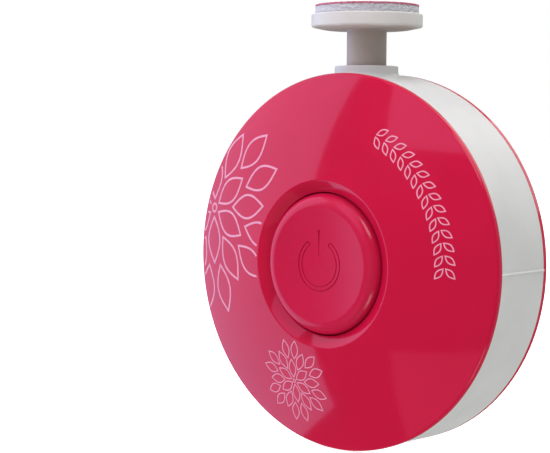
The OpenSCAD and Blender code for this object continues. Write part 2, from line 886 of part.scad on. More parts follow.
front_cover();
middle_band();
rear_cover();
battery_door();
case_screws();
inner_frame();
frame_screws();
motor_strap();
strap_screws();
motor_can();
motor_end_cap();
motor_magnets();
motor_bushes();
motor_brushes();
motor_terminals();
motor_shaft();
rotor_core();
rotor_winding();
commutator();
drive_spindle();
head_hub();
foam_pad();
abrasive_disc();
power_button();
switch_plunger();
button_spring();
switch_body();
circuit_board();
board_screws();
control_chip();
capacitor();
battery_upper();
battery_lower();
contact_link();
contact_minus();
contact_plus();
wire_motor_left();
wire_motor_right();
wire_minus();
wire_plus();
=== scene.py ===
import json
import math

import bmesh
import bpy
from mathutils import Matrix, Vector, noise


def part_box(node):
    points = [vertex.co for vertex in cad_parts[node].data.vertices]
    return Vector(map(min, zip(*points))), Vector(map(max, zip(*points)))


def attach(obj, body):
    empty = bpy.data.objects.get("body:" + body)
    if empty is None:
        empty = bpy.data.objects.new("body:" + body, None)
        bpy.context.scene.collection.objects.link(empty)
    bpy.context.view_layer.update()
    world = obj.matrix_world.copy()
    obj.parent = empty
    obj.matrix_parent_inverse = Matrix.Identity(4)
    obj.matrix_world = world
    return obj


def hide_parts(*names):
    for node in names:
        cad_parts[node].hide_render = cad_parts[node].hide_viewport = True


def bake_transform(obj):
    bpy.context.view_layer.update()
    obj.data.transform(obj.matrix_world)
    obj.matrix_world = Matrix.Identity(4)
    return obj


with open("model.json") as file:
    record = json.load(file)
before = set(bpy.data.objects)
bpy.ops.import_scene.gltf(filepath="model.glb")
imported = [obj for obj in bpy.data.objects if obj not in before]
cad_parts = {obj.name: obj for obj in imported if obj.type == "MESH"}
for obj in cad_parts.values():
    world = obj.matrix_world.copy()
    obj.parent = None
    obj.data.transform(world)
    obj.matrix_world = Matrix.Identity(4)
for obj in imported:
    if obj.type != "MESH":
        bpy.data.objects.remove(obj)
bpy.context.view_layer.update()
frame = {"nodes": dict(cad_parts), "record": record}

# ---------------------------------------------------------------- sizes, in millimetres
MM = 0.001


def box_mm(node):
    """Low and high corners of a CAD node's box."""
    low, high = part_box(node)
    return low / MM, high / MM


COVER_LOW, COVER_HIGH = box_mm("front_cover")
BAND_HIGH = box_mm("middle_band")[1]
BUTTON_LOW, BUTTON_HIGH = box_mm("power_button")
SPRING_LOW, SPRING_HIGH = box_mm("button_spring")
HUB_LOW, HUB_HIGH = box_mm("head_hub")
FOAM_HIGH = box_mm("foam_pad")[1]
DISC_HIGH = box_mm("abrasive_disc")[1]

# Case and covers: heights run forward from the middle plane of the case
CASE_R = COVER_HIGH.x
CENTRE_Z = (COVER_LOW.z + COVER_HIGH.z) / 2
FACE_H = -BUTTON_LOW.y
SEAM_H = BAND_HIGH.y
RIM_W = 1.1
RIM_H = SEAM_H + RIM_W
RIM_ROUND = 0.6
DOME_OVER_FACE = 0.45
DOME_RISE = FACE_H + DOME_OVER_FACE - RIM_H
DOME_R = (CASE_R ** 2 + DOME_RISE ** 2) / (2 * DOME_RISE)
DOME_C = RIM_H + DOME_RISE - DOME_R
WALL = 1.6
LIP_LEN = 1.6
LIP_T = 1.0
SEAM_ROUND = 0.12
SHELL_ROUND = 0.2
DOME_START_IN = 1.2
DOME_STEPS = 24
DOME_STEPS_UNDER = 10

# Band and collar
BAND_R = BAND_HIGH.x
BAND_WALL = 1.6
BAND_IN_R = BAND_R - BAND_WALL
LIP_GAP = 0.05
LIP_R = BAND_IN_R - LIP_GAP
BAND_FLARE = CASE_R - BAND_R
BAND_EDGE_W = 0.9
BAND_EDGE_RISE = 0.16
BAND_EDGE_SLOPE = 0.25
BAND_OUT_STEPS = 12
PARTING_HALF = 0.3
PARTING_RISE = 0.2
COLLAR_TOP = BAND_HIGH.z - CENTRE_Z
COLLAR_R = 5.6
COLLAR_BORE_R = 4.0
COLLAR_FILLET = 0.7
COLLAR_ROUND = 0.22
COLLAR_INNER_R = COLLAR_BORE_R - 0.6
COLLAR_ROOT = BAND_IN_R + 0.2
COLLAR_SINK = 0.02

# Button, its hole and its recess
BUTTON_R = 12.3
BUTTON_ROUND = 2.4
BUTTON_DISH = 0.42
BUTTON_WALL = 1.4
BUTTON_EDGE = 0.15
BUTTON_PROUD = 1.85
FLANGE_R = BUTTON_HIGH.x
FLANGE_LOW = -BUTTON_HIGH.y
FLANGE_T = 1.0
FLANGE_TOP = FLANGE_LOW + FLANGE_T
POST_R = 2.1
POST_LOW = FLANGE_LOW + 2.9
HOLE_R = 12.45
HOLE_ROUND = 0.18
RECESS_R = 14.5
RECESS_ROUND = 0.55
RECESS_T = 1.6
RECESS_MARGIN = 0.8
GAP_H = FACE_H - BUTTON_PROUD
COLLAR_UNDER_H = GAP_H - RECESS_T

# Head
PLATE_R = HUB_HIGH.x
PLATE_TOP = HUB_HIGH.z - CENTRE_Z
PLATE_T = 2.3
PLATE_BOTTOM = PLATE_TOP - PLATE_T
PLATE_SWELL = 0.35
PLATE_SLOPE_W = 2.2
STEM_R = 3.5
STEM_BOTTOM = HUB_LOW.z - CENTRE_Z
SOCKET_R = 2.05
SOCKET_HALF = 1.65
SOCKET_DEPTH = 10.5
FOAM_R = FOAM_HIGH.x
FOAM_TOP = FOAM_HIGH.z - CENTRE_Z
DISC_R = DISC_HIGH.x
DISC_TOP = DISC_HIGH.z - CENTRE_Z

# Screw bosses inside the front cover
SCREW_RING_IN = 6
SCREW_RING_R = CASE_R - SCREW_RING_IN
SCREW_ANGLES = (42, 138, 236, 304)
BOSS_R = 2.7
BOSS_LOW = -4.4
SCREW_R = 1.1
BOSS_SINK = 0.3

# Two frames in millimetres from the middle of the case: one with z up, one with z forward
UPRIGHT = Matrix.Translation((0, 0, CENTRE_Z * MM)) @ Matrix.Scale(MM, 4)
FORWARD = UPRIGHT @ Matrix.Rotation(math.radians(90), 4, "X")
STEPS = 288

# How close a point lies to a turned surface to take its exact normal
ON_DOME = 0.01
ON_BAND = 0.02
ON_FACE = 0.004
SAME_WAY = 0.985


def dome_at(radius, inset=0.0):
    """Height of the covers' dome at a radius, this far inside its surface."""
    return DOME_C + math.sqrt((DOME_R - inset) ** 2 - radius ** 2)


# ---------------------------------------------------------------- mesh helpers
def new_object(name, bm, place):
    """Object from a bmesh in local millimetres, with outward faces, set in the row's frame."""
    bmesh.ops.recalc_face_normals(bm, faces=bm.faces)
    mesh = bpy.data.meshes.new(name)
    bm.to_mesh(mesh)
    bm.free()
    mesh.transform(place)
    if place.determinant() < 0:
        mesh.flip_normals()
    obj = bpy.data.objects.new(name, mesh)
    bpy.context.scene.collection.objects.link(obj)
    return obj


def rounded(corners, step=12):
    """Profile points through (radius, height, rounding) corners, each rounded by an arc."""
    points = []
    count = len(corners)
    for i, (x, y, size) in enumerate(corners):
        here = Vector((x, y))
        if size == 0:
            points.append(here)
            continue
        before = (Vector(corners[i - 1][:2]) - here).normalized()
        after = (Vector(corners[(i + 1) % count][:2]) - here).normalized()
        half = before.angle(after) / 2
        centre = here + (before + after).normalized() * (size / math.sin(half))
        start = here + before * (size / math.tan(half)) - centre
        end = here + after * (size / math.tan(half)) - centre
        turn = math.pi - 2 * half
        steps = max(2, math.ceil(math.degrees(turn) / step))
        for k in range(steps + 1):
            t = k / steps
            mix = start * math.sin((1 - t) * turn) + end * math.sin(t * turn)
            points.append(centre + mix / math.sin(turn))
    return points


def lathe(profile, closed=True, steps=STEPS, radius_change=None):
    """Bmesh of a profile turned round the z axis; points at radius 0 become poles."""
    bm = bmesh.new()
    rings = []
    for radius, height in profile:
        if radius < 1e-6:
            rings.append([bm.verts.new((0, 0, height))] * steps)
            continue
        ring = []
        for k in range(steps):
            a = 2 * math.pi * k / steps
            r = radius + (radius_change(radius, height, a) if radius_change else 0)
            ring.append(bm.verts.new((r * math.cos(a), r * math.sin(a), height)))
        rings.append(ring)
    pairs = list(zip(rings, rings[1:]))
    if closed:
        pairs.append((rings[-1], rings[0]))
    for low, high in pairs:
        for k in range(steps):
            corners = [low[k], low[(k + 1) % steps], high[(k + 1) % steps], high[k]]
            unique = list(dict.fromkeys(corners))
            if len(unique) > 2:
                bm.faces.new(unique)
    return bm


def prism(outline, low, high):
    """Bmesh of a flat outline of (x, y) points carried from one height to another."""
    bm = bmesh.new()
    bottom = [bm.verts.new((x, y, low)) for x, y in outline]
    top = [bm.verts.new((x, y, high)) for x, y in outline]
    bm.faces.new(bottom[::-1])
    bm.faces.new(top)
    count = len(outline)
    for k in range(count):
        n = (k + 1) % count
        bm.faces.new((bottom[k], bottom[n], top[n], top[k]))
    return bm


def bridge(bm, here, there):
    """Faces between two closed rows of the same number of vertices."""
    count = len(here)
    for j in range(count):
        n = (j + 1) % count
        bm.faces.new((here[j], here[n], there[n], there[j]))


def circle(radius, steps=48, centre=(0, 0)):
    """Points of a circle, as (x, y) pairs."""
    turn = 2 * math.pi / steps
    return [(centre[0] + radius * math.cos(k * turn), centre[1] + radius * math.sin(k * turn))
            for k in range(steps)]


def combine(obj, tools, operation):
    """Adds tools to obj, or cuts them from it, one exact boolean each."""
    for tool in tools:
        modifier = obj.modifiers.new("cut", "BOOLEAN")
        modifier.operation = operation
        modifier.solver = "EXACT"
        modifier.object = tool
        bake(obj)
        bpy.data.objects.remove(tool)
    return obj


def bake(obj):
    """Applies every modifier on obj to its mesh."""
    graph = bpy.context.evaluated_depsgraph_get()
    graph.update()
    mesh = bpy.data.meshes.new_from_object(obj.evaluated_get(graph))
    obj.modifiers.clear()
    old = obj.data
    obj.data = mesh
    bpy.data.meshes.remove(old)
    return obj


def smooth(obj, sharp=32, rules=()):
    """Shades obj smooth but for its sharp edges. Each rule gives the exact normal of a
    turned surface at a point, or None, so that cuts beside it leave no ripple."""
    mesh = obj.data
    mesh.shade_smooth()
    mesh.set_sharp_from_angle(angle=math.radians(sharp))
    if rules:
        normals = [corner.vector.copy() for corner in mesh.corner_normals]
        for face in mesh.polygons:
            for index in face.loop_indices:
                point = mesh.vertices[mesh.loops[index].vertex_index].co
                for rule in rules:
                    exact = rule(point)
                    if exact and exact.dot(face.normal) > SAME_WAY:
                        normals[index] = exact
        mesh.normals_split_custom_set(normals)
    return obj


def dome_normal(point):
    """Rule for the outer dome of the front cover."""
    out = point - Vector((0, -DOME_C, CENTRE_Z)) * MM
    return out.normalized() if abs(out.length / MM - DOME_R) < ON_DOME else None


def band_radius(height):
    """Radius of the band's outside, which widens from its front edge to its rear edge."""
    return BAND_R + BAND_FLARE * (SEAM_H - height) / (2 * SEAM_H)


def band_normal(point):
    """Rule for the outside of the band."""
    out = Vector((point.x, 0, point.z - CENTRE_Z * MM))
    if abs(out.length / MM - band_radius(-point.y / MM)) > ON_BAND:
        return None
    return (out.normalized() + Vector((0, -BAND_FLARE / (2 * SEAM_H), 0))).normalized()


def dish_at(radius):
    """Height of the button's face, which is slightly dished."""
    return FACE_H - BUTTON_DISH * (1 - (radius / (BUTTON_R - BUTTON_ROUND)) ** 2)


def face_normal(point):
    """Rule for the dished face of the button."""
    x, z = point.x / MM, point.z / MM - CENTRE_Z
    if abs(-point.y / MM - dish_at(math.hypot(x, z))) > ON_FACE:
        return None
    slope = 2 * BUTTON_DISH / (BUTTON_R - BUTTON_ROUND) ** 2
    return Vector((-slope * x, -1, -slope * z)).normalized()


def dome_steps(start, end, inset=0.0, count=DOME_STEPS):
    """Dome points between two radii, as unrounded profile corners."""
    radii = [start + (end - start) * k / count for k in range(count + 1)]
    return [(r, dome_at(r, inset), 0) for r in radii]


# ---------------------------------------------------------------- material helpers
RANGE_KEYS = ("From Min", "From Max", "To Min", "To Max")


class Nodes:
    """Short way to build a node material around one Principled shader."""

    def __init__(self, name, **settings):
        """New material with these shader inputs set; an underscore stands for a space."""
        self.material = bpy.data.materials.new(name)
        self.material.use_nodes = True
        self.tree = self.material.node_tree
        self.shader = self.tree.nodes["Principled BSDF"]
        self.place = self.add("ShaderNodeTexCoord").outputs["Object"]
        for socket, value in settings.items():
            self.shader.inputs[socket.replace("_", " ")].default_value = value

    def add(self, kind, **values):
        """New node of this kind with these settings."""
        node = self.tree.nodes.new(kind)
        for key, value in values.items():
            setattr(node, key, value)
        return node

    def link(self, source, target):
        """Joins an output to an input."""
        self.tree.links.new(source, target)

    def noise(self, scale, detail=3.0, rough=0.5, stretch=(1, 1, 1), distortion=0.0):
        """Noise of about this many cells a millimetre, stretched along the axes."""
        mapping = self.add("ShaderNodeMapping")
        mapping.inputs["Scale"].default_value = [s / MM * scale for s in stretch]
        self.link(self.place, mapping.inputs["Vector"])
        node = self.add("ShaderNodeTexNoise")
        node.inputs["Scale"].default_value = 1.0
        node.inputs["Detail"].default_value = detail
        node.inputs["Roughness"].default_value = rough
        node.inputs["Distortion"].default_value = distortion
        self.link(mapping.outputs["Vector"], node.inputs["Vector"])
        return node.outputs["Fac"]

    def cells(self, scale):
        """Cell distances with about this many cells a millimetre."""
        mapping = self.add("ShaderNodeMapping")
        mapping.inputs["Scale"].default_value = [scale / MM] * 3
        self.link(self.place, mapping.inputs["Vector"])
        node = self.add("ShaderNodeTexVoronoi")
        node.inputs["Scale"].default_value = 1.0
        self.link(mapping.outputs["Vector"], node.inputs["Vector"])
        return node.outputs["Distance"]

    def range(self, value, low, high, start=0.3, end=0.7):
        """Goes from low to high as the value goes from start to end."""
        node = self.add("ShaderNodeMapRange")
        for key, number in zip(RANGE_KEYS, (start, end, low, high)):
            node.inputs[key].default_value = number
        self.link(value, node.inputs["Value"])
        return node.outputs["Result"]

    def ramp(self, value, *stops):
        """Colour ramp through (position, colour) stops."""
        node = self.add("ShaderNodeValToRGB")
        elements = node.color_ramp.elements
        while len(elements) < len(stops):
            elements.new(0.5)
        for element, (position, colour) in zip(elements, stops):
            element.position = position
            element.color = (*colour, 1)
        self.link(value, node.inputs["Fac"])
        return node.outputs["Color"]

    def colour(self, value, *stops):
        """Base colour from a ramp."""
        self.link(self.ramp(value, *stops), self.shader.inputs["Base Color"])

    def rough(self, value, low, high, start=0.3, end=0.7):
        """Roughness that goes from low to high with the value."""
        self.link(self.range(value, low, high, start, end), self.shader.inputs["Roughness"])

    def bump(self, *layers):
        """Chains (height, depth in millimetres) layers of bump into the shader."""
        normal = None
        for height, depth in layers:
            node = self.add("ShaderNodeBump")
            node.inputs["Strength"].default_value = 1.0
            node.inputs["Distance"].default_value = depth * MM
            self.link(height, node.inputs["Height"])
            if normal:
                self.link(normal, node.inputs["Normal"])
            normal = node.outputs["Normal"]
        self.link(normal, self.shader.inputs["Normal"])


def shade(colour, factor):
    """Colour made lighter or darker by a factor."""
    return tuple(min(1.0, c * factor) for c in colour)


# ---------------------------------------------------------------- materials
def gloss_plastic(name, colour, rough, coat, grain=0.0015):
    """Moulded glossy plastic: faint flow shading, polish that varies, a trace of ripple."""
    m = Nodes(name, IOR=1.46, Coat_Weight=coat, Coat_Roughness=0.03)
    flow = m.noise(0.05, detail=2.0, distortion=0.6)
    m.colour(flow, (0.3, shade(colour, 0.95)), (0.7, shade(colour, 1.04)))
    m.rough(m.noise(0.35, detail=5.0), rough * 0.8, rough * 1.3)
    m.bump((m.noise(0.22, detail=1.0), grain * 2.0), (m.noise(3.0, detail=2.0), grain * 0.25))
    return m.material


def satin_plastic(name, colour, rough, depth, scale):
    """Moulded plastic with a fine spark-eroded grain."""
    m = Nodes(name, IOR=1.47)
    m.colour(m.noise(0.12, detail=3.0), (0.3, shade(colour, 0.95)), (0.7, shade(colour, 1.03)))
    m.rough(m.noise(0.6, detail=4.0), rough * 0.88, rough * 1.12)
    m.bump((m.noise(0.3, detail=1.0), 0.003), (m.noise(scale, detail=3.0, rough=0.6), depth))
    return m.material


# Heights over which the painted shade under the plate fades in down the stem
STEM_SHADE_LOW = PLATE_BOTTOM + CENTRE_Z - 0.3
STEM_SHADE_HIGH = PLATE_BOTTOM + CENTRE_Z + 0.2


def head_material():
    """Ivory plastic with a fine grain, darker and warmer down the stem than on the plate: painted
    shade under the plate, its warmth partly a warmer ivory.
    """
    m = Nodes("head_white_satin", IOR=1.47, Roughness=0.42)
    height = m.add("ShaderNodeSeparateXYZ")
    m.link(m.place, height.inputs[0])
    # Painted shade: the colour turns darker and warmer down the stem, under the plate
    along = m.range(height.outputs["Z"], 0.2, 0.8, STEM_SHADE_LOW * MM, STEM_SHADE_HIGH * MM)
    uneven = m.range(m.noise(0.15, detail=3.0), -0.2, 0.2)
    total = m.add("ShaderNodeMath", operation="ADD")
    m.link(along, total.inputs[0])
    m.link(uneven, total.inputs[1])
    m.colour(total.outputs[0], (0.0, (0.43, 0.375, 0.325)), (0.35, (0.46, 0.405, 0.36)),
             (0.65, (0.63, 0.63, 0.59)), (1.0, (0.66, 0.66, 0.62)))
    m.rough(m.noise(0.6, detail=4.0), 0.37, 0.47)
    m.bump((m.noise(0.3, detail=1.0), 0.003), (m.noise(3.5, detail=3.0, rough=0.6), 0.0045))
    return m.material


def foam_material():
    """White open foam: pores that are deeper, with painted shade that makes them darker."""
    m = Nodes("foam_fine", IOR=1.4, Subsurface_Weight=0.25, Subsurface_Scale=0.0006)
    m.shader.inputs["Subsurface Radius"].default_value = (1.0, 1.0, 1.1)
    pores = m.cells(4.2)
    # Painted shade: the pores are coloured darker than the foam between them
    m.colour(pores, (0.05, (0.37, 0.38, 0.42)), (0.32, (0.56, 0.57, 0.60)),
             (0.7, (0.62, 0.63, 0.66)))
    m.rough(m.noise(1.5), 0.85, 0.98)
    m.bump((m.noise(0.9, detail=4.0), 0.08), (pores, 0.10))
    return m.material


def abrasive_material():
    """Rose abrasive: grains of slightly different shades stuck on a backing."""
    m = Nodes("abrasive_rose", IOR=1.55)
    grains = m.cells(7.5)
    m.colour(grains, (0.0, (0.80, 0.36, 0.44)), (0.35, (0.62, 0.17, 0.26)),
             (0.8, (0.38, 0.07, 0.13)))
    m.rough(m.noise(4.0, detail=3.0), 0.55, 0.95)
    m.bump((m.noise(1.2, detail=3.0), 0.03), (grains, 0.07))
    return m.material


def print_material():
    """Pale printing ink, slightly uneven and thin in places."""
    m = Nodes("print_ink", IOR=1.5)
    m.colour(m.noise(1.2, detail=4.0), (0.25, (0.70, 0.27, 0.38)), (0.6, (0.78, 0.34, 0.46)))
    m.rough(m.noise(2.5, detail=3.0), 0.32, 0.5)
    m.bump((m.noise(6.0, detail=3.0), 0.004))
    return m.material


def metal(name, colour, rough, stretch=(1, 1, 1), scale=2.0, depth=0.004):
    """Metal with drawn or turned marks along one way, and tarnish in patches."""
    m = Nodes(name, Metallic=1.0)
    m.colour(m.noise(0.4, detail=4.0), (0.3, shade(colour, 0.82)), (0.7, colour))
    m.rough(m.noise(scale, detail=4.0, stretch=stretch), rough * 0.7, rough * 1.4)
    m.bump((m.noise(scale, detail=2.0, stretch=stretch), depth))
    return m.material


def copper_winding():
    """Enamelled copper wire in close turns."""
    m = Nodes("copper_winding", Metallic=1.0)
    turns = m.add("ShaderNodeTexWave", wave_type="BANDS", bands_direction="Z")
    turns.inputs["Scale"].default_value = 0.9 / MM
    turns.inputs["Distortion"].default_value = 0.6
    m.link(m.place, turns.inputs["Vector"])
    lines = turns.outputs["Fac"]
    # Painted shade: the colour darkens in the grooves between the turns
    m.colour(lines, (0.1, (0.24, 0.07, 0.02)), (0.7, (0.78, 0.33, 0.13)))
    m.rough(m.noise(3.0), 0.25, 0.45)
    m.bump((lines, 0.05))
    return m.material


def board_material():
    """Green solder mask over faint tracks."""
    m = Nodes("board_green", IOR=1.5, Coat_Weight=0.4, Coat_Roughness=0.12)
    tracks = m.add("ShaderNodeTexBrick")
    tracks.inputs["Scale"].default_value = 0.35 / MM
    tracks.inputs["Mortar Size"].default_value = 0.12
    tracks.inputs["Color1"].default_value = (0.012, 0.11, 0.05, 1)
    tracks.inputs["Color2"].default_value = (0.014, 0.13, 0.06, 1)
    tracks.inputs["Mortar"].default_value = (0.03, 0.22, 0.10, 1)
    turn = m.add("ShaderNodeMapping")
    turn.inputs["Rotation"].default_value = (math.radians(90), 0, 0)
    m.link(m.place, turn.inputs["Vector"])
    m.link(turn.outputs["Vector"], tracks.inputs["Vector"])
    m.link(tracks.outputs["Color"], m.shader.inputs["Base Color"])
    m.rough(m.noise(2.0), 0.3, 0.45)
    m.bump((tracks.outputs["Fac"], 0.02), (m.noise(8.0), 0.004))
    return m.material


RED = (0.535, 0.0052, 0.043)
SLOT_MATERIALS = {
    "cover_red": gloss_plastic("cover_red_gloss", RED, 0.085, 0.25),
    "button_red": satin_plastic("button_red_satin", (0.54, 0.0085, 0.053), 0.17, 0.0008, 4.0),
    "band_white": satin_plastic("band_white_satin", (0.60, 0.615, 0.59), 0.34, 0.0035, 4.0),
    "head_white": head_material(),
    "foam": foam_material(),
    "abrasive": abrasive_material(),
    "frame_plastic": satin_plastic("frame_plastic_matt", (0.52, 0.52, 0.50), 0.5, 0.006, 3.0),
    "black_plastic": satin_plastic("black_plastic_matt", (0.018, 0.018, 0.02), 0.42, 0.005, 3.0),
    "steel": metal("steel_bright", (0.62, 0.62, 0.63), 0.28),
    "motor_steel": metal("motor_steel_drawn", (0.55, 0.55, 0.56), 0.32, (4, 4, 0.25)),
    "magnet": satin_plastic("magnet_ferrite", (0.035, 0.034, 0.036), 0.6, 0.012, 2.5),
    "bronze": metal("bronze_sintered", (0.58, 0.36, 0.15), 0.4, scale=5.0, depth=0.01),
    "copper": copper_winding(),
    "board": board_material(),
    "blue_part": satin_plastic("blue_part_gloss", (0.02, 0.07, 0.33), 0.3, 0.002, 5.0),
    "cell_sleeve": gloss_plastic("cell_sleeve_film", (0.10, 0.13, 0.17), 0.22, 0.3, 0.002),
    "wire_black": satin_plastic("wire_black_vinyl", (0.02, 0.02, 0.02), 0.45, 0.006, 3.0),
    "wire_red": satin_plastic("wire_red_vinyl", (0.45, 0.015, 0.012), 0.42, 0.006, 3.0),
}
PRINT = print_material()


def finish_piece(obj, body, slot, replaced=(), material=None):
    """Gives a piece its material (its slot's, or the one given), puts it under its body, and
    hides the CAD nodes it stands for.
    """
    obj.data.materials.clear()
    obj.data.materials.append(material or SLOT_MATERIALS[slot])
    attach(obj, body)
    if replaced:
        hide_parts(*replaced)
    return obj


# ---------------------------------------------------------------- the covers
def ring_place(angle, radius):
    """Forward frame at an angle on a ring round the middle of the case."""
    turn = math.radians(angle)
    return FORWARD @ Matrix.Translation((radius * math.cos(turn), radius * math.sin(turn), 0))


def boss(angle):
    """Screw boss that runs from inside the dome down to its seat."""
    top = dome_at(SCREW_RING_R, WALL) + BOSS_SINK
    profile = rounded([(SCREW_R, BOSS_LOW, 0), (BOSS_R, BOSS_LOW, 0.3), (BOSS_R, top, 0),
                       (SCREW_R, top, 0)])
    return new_object("boss", lathe(profile, steps=48), ring_place(angle, SCREW_RING_R))


def cover_rim():
    """Profile corners of a cover from its seam to the start of its dome."""
    return [(CASE_R, SEAM_H, SEAM_ROUND), (CASE_R, RIM_H, RIM_ROUND)]


def cover_lip():
    """Profile corners of the lip that runs inside the band, back to the seam."""
    inner = LIP_R - LIP_T
    low = SEAM_H - LIP_LEN
    return [(inner, dome_at(inner, WALL), 0), (inner, low, SHELL_ROUND),
            (LIP_R, low, SHELL_ROUND), (LIP_R, SEAM_H, 0)]


def front_cover():
    """Glossy front shell with its sloping recess and the hole for the button."""
    under = RECESS_R + WALL
    corners = cover_rim() + dome_steps(CASE_R - DOME_START_IN, RECESS_R + RECESS_MARGIN)
    corners += [(RECESS_R, dome_at(RECESS_R), RECESS_ROUND), (HOLE_R, GAP_H, HOLE_ROUND),
                (HOLE_R, COLLAR_UNDER_H, 0.1), (under, COLLAR_UNDER_H, SHELL_ROUND),
                (under, dome_at(under, WALL), SHELL_ROUND)]
    corners += dome_steps(under + 1, LIP_R - LIP_T - 0.6, WALL, DOME_STEPS_UNDER) + cover_lip()
    obj = new_object("front_cover_shell", lathe(rounded(corners)), FORWARD)
    combine(obj, [boss(a) for a in SCREW_ANGLES], "UNION")
    smooth(obj, rules=(dome_normal,))
    return finish_piece(obj, "case", "cover_red", ["front_cover"])


# ---------------------------------------------------------------- the band
def parting_ridge(radius, height, angle):
    """Rise of the fine mould line that crosses the band on each side, for lathe to call."""
    if radius < BAND_R - 0.01:
        return 0.0
    distance = abs(math.sin(angle)) * BAND_R
    return PARTING_RISE * max(0.0, 1 - distance / PARTING_HALF)


def band_outside():
    """Corners of the band's outside: flush with the rear cover, with a raised front edge."""
    inside = SEAM_H - BAND_EDGE_W
    flat = [-SEAM_H + (SEAM_H + inside - BAND_EDGE_SLOPE) * k / BAND_OUT_STEPS
            for k in range(1, BAND_OUT_STEPS + 1)]
    return ([(band_radius(-SEAM_H), -SEAM_H, SEAM_ROUND)] + [(band_radius(h), h, 0) for h in flat]
            + [(band_radius(inside) + BAND_EDGE_RISE, inside, SHELL_ROUND),
               (BAND_R + BAND_EDGE_RISE, SEAM_H, SEAM_ROUND)])


def collar():
    """Collar round the stem, flared where it grows out of the band."""
    bm = bmesh.new()
    steps = 144
    lip = rounded([(COLLAR_INNER_R, COLLAR_TOP, 0), (COLLAR_R, COLLAR_TOP, COLLAR_ROUND),
                   (COLLAR_R, COLLAR_TOP - 1, 0)])[:-1]
    flare = [(COLLAR_FILLET * (1 - math.cos(math.radians(a))), 1 - math.sin(math.radians(a)))
             for a in range(0, 91, 15)]
    columns = []
    for k in range(steps):
        a = 2 * math.pi * k / steps
        column = [(point.x, point.y) for point in lip]
        for out, drop in flare:
            r = COLLAR_R + out
            surface = math.sqrt(band_radius(-r * math.sin(a)) ** 2 - (r * math.cos(a)) ** 2)
            column.append((r, surface + COLLAR_FILLET * drop - COLLAR_SINK))
        column.append((COLLAR_R + COLLAR_FILLET, COLLAR_ROOT))
        column.append((COLLAR_INNER_R, COLLAR_ROOT))
        columns.append([bm.verts.new((r * math.cos(a), r * math.sin(a), z)) for r, z in column])
    for k in range(steps):
        here, there = columns[k], columns[(k + 1) % steps]
        for j in range(len(here)):
            n = (j + 1) % len(here)
            bm.faces.new((here[j], there[j], there[n], here[n]))
    return new_object("collar", bm, UPRIGHT)


def bore():
    """Cutter for the hole that the stem passes through."""
    outline = circle(COLLAR_BORE_R, 96)
    return new_object("bore", prism(outline, BAND_IN_R - 4, COLLAR_TOP + 1), UPRIGHT)


def middle_band():
    """White band with a raised front edge, mould lines and the stem's collar."""
    corners = band_outside() + [(BAND_IN_R, SEAM_H, 0.1), (BAND_IN_R, -SEAM_H, 0.1)]
    bm = lathe(rounded(corners), steps=720, radius_change=parting_ridge)
    obj = new_object("middle_band_ring", bm, FORWARD)
    combine(obj, [collar()], "UNION")
    combine(obj, [bore()], "DIFFERENCE")
    smooth(obj, 34, rules=(band_normal,))
    return finish_piece(obj, "case", "band_white", ["middle_band"])


# ---------------------------------------------------------------- the button
POWER_R = 4.2
POWER_STROKE = 0.95
POWER_LINE = 0.2
POWER_BAR_STROKE = 0.4
POWER_DEPTH = 0.13
POWER_OPENING = 36
POWER_BAR_TOP = 5.8
POWER_BAR_LOW = 1.7
POWER_STEPS = 60
FACE_STEPS = 12


def capsule_outline(points, width):
    """Outline of a stroke of this width along points, with round ends."""
    half = width / 2
    count = len(points)
    sides = ([], [])
    for i, point in enumerate(points):
        here = Vector(point)
        before, after = Vector(points[max(i - 1, 0)]), Vector(points[min(i + 1, count - 1)])
        along = (after - before).normalized()
        across = Vector((-along.y, along.x))
        sides[0].append(here + across * half)
        sides[1].append(here - across * half)
    caps = []
    for end, step in ((points[-1], 1), (points[0], -1)):
        near = points[-2] if step == 1 else points[1]
        along = (Vector(end) - Vector(near)).normalized()
        across = Vector((-along.y, along.x))
        arc = [Vector(end) + half * (across * math.cos(t) + along * math.sin(t))
               for t in [math.pi * k / 10 for k in range(1, 10)]]
        caps.append(arc)
    return [tuple(p) for p in sides[0] + caps[0] + sides[1][::-1] + caps[1]]


def stroke_prism(name, points, width, low, high):
    """Upright block over a stroke in the button's plane."""
    return new_object(name, prism(capsule_outline(points, width), low, high), FORWARD)


def power_strokes():
    """Cutters for the outlined open ring and the bar of the power symbol."""
    ring = []
    span = 360 - 2 * POWER_OPENING
    for k in range(POWER_STEPS + 1):
        a = math.radians(90 + POWER_OPENING + span * k / POWER_STEPS)
        ring.append((POWER_R * math.cos(a), POWER_R * math.sin(a)))
    bar = [(0, POWER_BAR_LOW), (0, (POWER_BAR_LOW + POWER_BAR_TOP) / 2), (0, POWER_BAR_TOP)]
    low = dish_at(POWER_R) - POWER_DEPTH
    outer = stroke_prism("stroke", ring, POWER_STROKE, low, FACE_H + 1)
    island = stroke_prism("island", ring, POWER_STROKE - 2 * POWER_LINE, low - 1, FACE_H + 2)
    combine(outer, [island], "DIFFERENCE")
    return [outer, stroke_prism("stroke", bar, POWER_BAR_STROKE, low, FACE_H + 1)]


